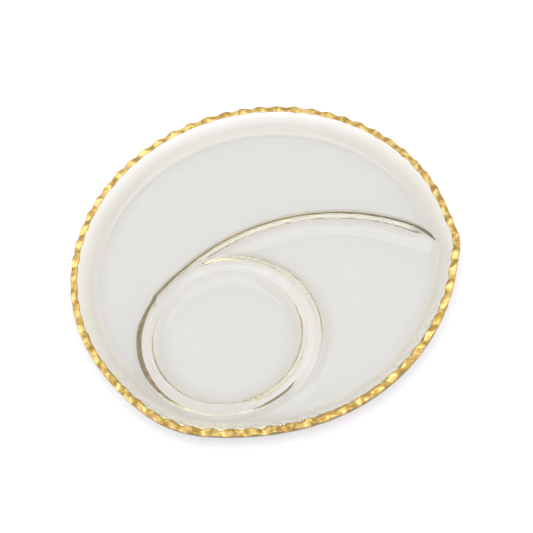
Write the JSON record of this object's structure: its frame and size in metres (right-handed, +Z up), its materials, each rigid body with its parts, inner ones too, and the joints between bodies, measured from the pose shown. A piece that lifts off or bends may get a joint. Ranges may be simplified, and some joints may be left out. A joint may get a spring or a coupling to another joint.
{
  "type": "chip and dip server",
  "caption": "Low round clear glass serving tray with a dip well ringed by a six-shaped ridge, whose tail parts the chip and side compartments, and a gilded crimped rim.",
  "frame": {"origin": "middle of the bounding box in plan, on the flat underside that the tray stands on", "axes": "+Z up, the open side of the tray; +Y towards the chip compartment; the dip well lies towards -X and -Y, and the side compartment towards +X and -Y"},
  "size_m": [0.3298, 0.324, 0.0197],
  "materials": {
    "clear_glass": "clear moulded glass, smooth and glossy, with a faint olive tint in its thick parts",
    "gilding": "fired gold, satin to bright, brushed on by hand over the crimped lip"
  },
  "bodies": {
    "root": {"glass_tray": "clear_glass", "gilded_rim": "gilding"}
  },
  "joints": []
}
